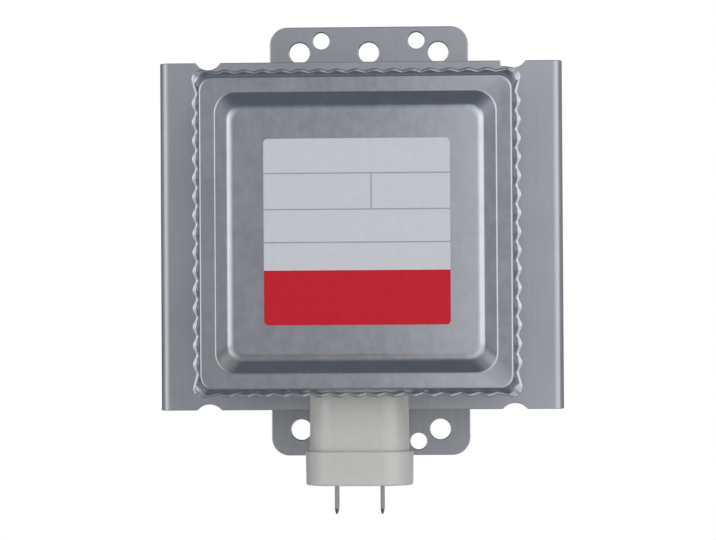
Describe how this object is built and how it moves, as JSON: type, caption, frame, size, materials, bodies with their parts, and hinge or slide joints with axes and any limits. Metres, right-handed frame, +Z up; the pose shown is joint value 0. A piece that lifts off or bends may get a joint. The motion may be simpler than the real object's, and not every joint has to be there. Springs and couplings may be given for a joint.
{
  "type": "magnetron",
  "caption": "Microwave-oven magnetron: folded yoke with mounting ears, finned anode between ring magnets, square crimped filter box with a terminal feedthrough, and a capped antenna.",
  "frame": {"origin": "centre of the mounting plate's waveguide face, on the antenna's axis", "axes": "+Y along the antenna, away from the waveguide face; +Z up, away from the terminals; +X to the right as seen from the filter lid, which faces -Y"},
  "size_m": [0.095, 0.1187, 0.1184],
  "materials": {
    "plated_steel": "satin zinc plating with fine rolling lines",
    "tinned_sheet": "satin tinned sheet, drawn and pressed",
    "label_film": "printed film in plain white and red fields",
    "case_plastic": "moulded thermoset, warm light grey",
    "sealing_resin": "cast resin",
    "capacitor_ceramic": "fired dielectric",
    "tinned_terminal": "tinned blade",
    "ferrite": "ground dark ferrite",
    "choke_wire": "enamelled copper wire",
    "copper": "bare oxygen-free copper",
    "fin_aluminium": "bright rolled sheet",
    "alumina": "unglazed pink-white alumina",
    "seal_steel": "plated drawn steel",
    "cathode_metal": "sintered and drawn refractory metal",
    "gasket_mesh": "knitted wire mesh, pressed into a ring"
  },
  "bodies": {
    "root": {"mounting_plate": "plated_steel", "yoke_frame": "plated_steel", "filter_box": "tinned_sheet", "filter_lid": "tinned_sheet", "ground_plate": "tinned_sheet", "ground_rivets": "tinned_sheet", "blank_label": "label_film", "feedthrough_case": "case_plastic", "inner_insulator": "case_plastic", "feedthrough_resin": "sealing_resin", "capacitor_block": "capacitor_ceramic", "terminal_left": "tinned_terminal", "terminal_right": "tinned_terminal", "magnet_antenna": "ferrite", "magnet_stem": "ferrite", "choke_core_left": "ferrite", "choke_core_right": "ferrite", "choke_coil_left": "choke_wire", "choke_coil_right": "choke_wire", "anode_cylinder": "copper", "strap_inner_antenna": "copper", "strap_outer_antenna": "copper", "strap_inner_stem": "copper", "strap_outer_stem": "copper", "antenna_lead": "copper", "exhaust_tube": "copper", "vane_1": "copper", "vane_2": "copper", "vane_3": "copper", "vane_4": "copper", "vane_5": "copper", "vane_6": "copper", "vane_7": "copper", "vane_8": "copper", "vane_9": "copper", "vane_10": "copper", "cooling_fin_1": "fin_aluminium", "cooling_fin_2": "fin_aluminium", "cooling_fin_3": "fin_aluminium", "cooling_fin_4": "fin_aluminium", "cooling_fin_5": "fin_aluminium", "cooling_fin_6": "fin_aluminium", "stem_ceramic": "alumina", "antenna_ceramic": "alumina", "stem_seal": "seal_steel", "antenna_seal": "seal_steel", "antenna_cap": "seal_steel", "pole_piece_antenna": "seal_steel", "pole_piece_stem": "seal_steel", "center_lead": "cathode_metal", "side_lead": "cathode_metal", "filament": "cathode_metal", "end_hat_antenna": "cathode_metal", "end_hat_stem": "cathode_metal", "mesh_gasket": "gasket_mesh"}
  },
  "joints": []
}
